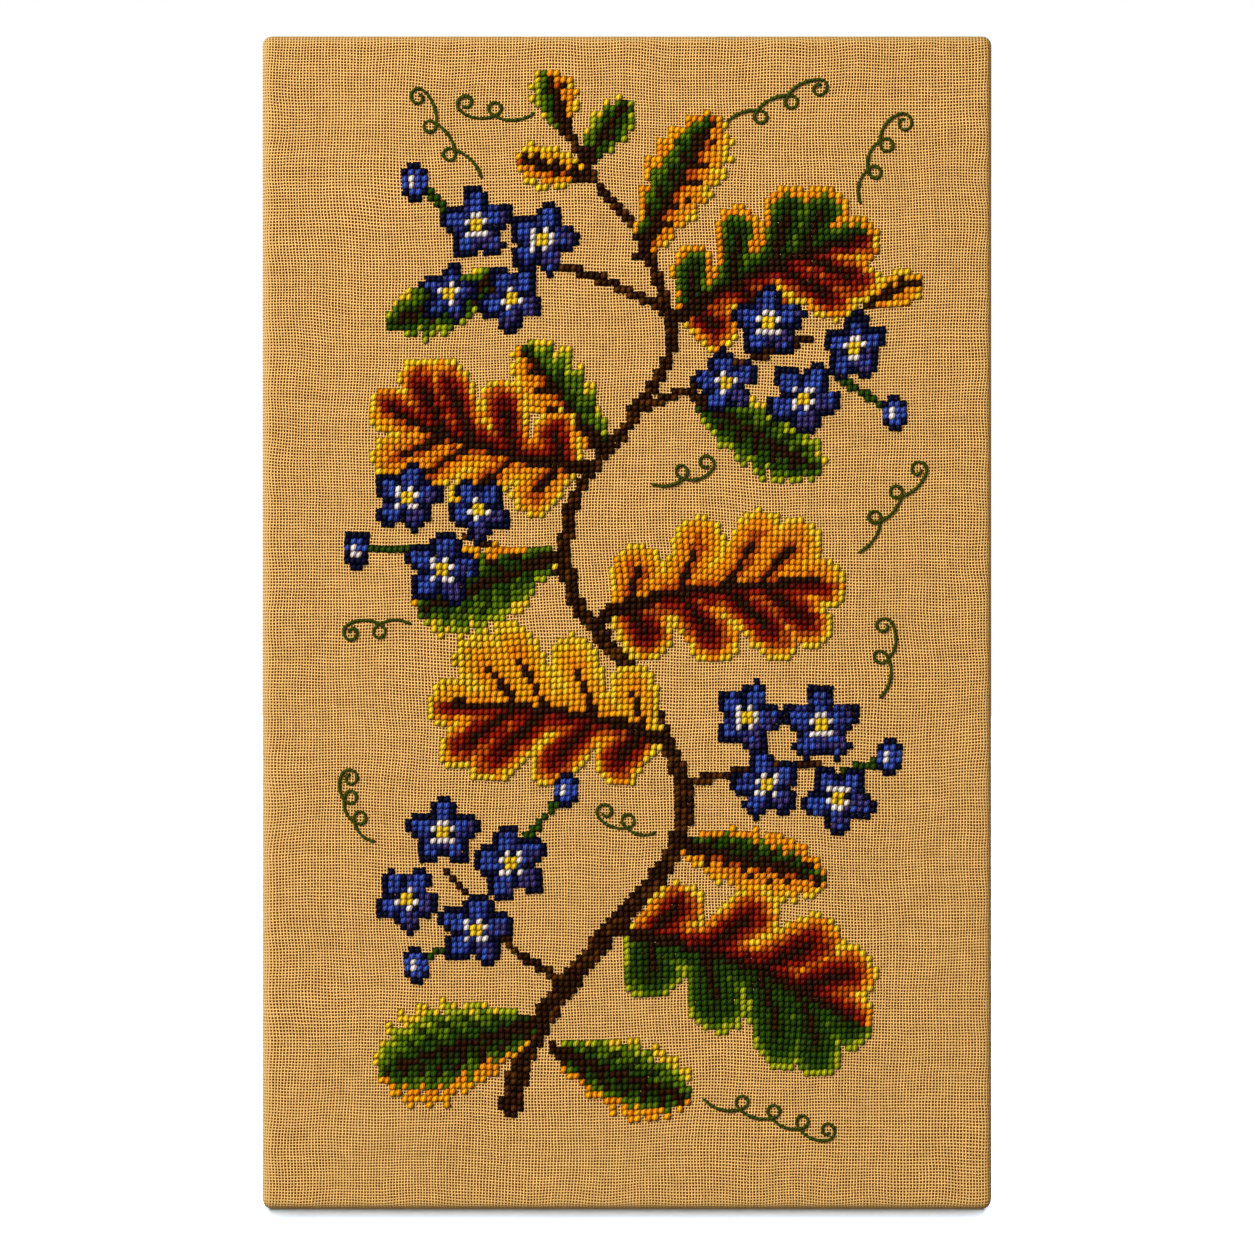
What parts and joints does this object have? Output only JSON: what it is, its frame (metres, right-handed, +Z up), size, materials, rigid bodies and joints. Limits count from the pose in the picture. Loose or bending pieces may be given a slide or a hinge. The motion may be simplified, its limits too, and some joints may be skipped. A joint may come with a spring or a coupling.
{
  "type": "cross-stitch picture on stretcher frame",
  "caption": "Upright cross-stitched panel: evenweave cloth stretched over a mitred wooden stretcher frame and turned over its back, standing on its lower edge.",
  "frame": {"origin": "middle of the bottom edge on the surface that the picture stands on, half way through its depth", "axes": "+Z up the picture, +Y from the stitched face to the back, +X to the right for someone facing the stitched face"},
  "size_m": [0.3, 0.0208, 0.4825],
  "materials": {
    "linen": "matt plain-woven evenweave, tan, with open holes between its threads",
    "pine": "planed, unvarnished",
    "yarn_warm": "stranded stitching yarn in gold, orange, rust and brown",
    "yarn_green": "stranded stitching yarn in dark green, green and lime",
    "yarn_blue": "stranded stitching yarn in navy, blue and off-white"
  },
  "bodies": {
    "root": {"cloth": "linen", "bar_bottom": "pine", "bar_left": "pine", "bar_top": "pine", "bar_right": "pine"}
  },
  "joints": []
}
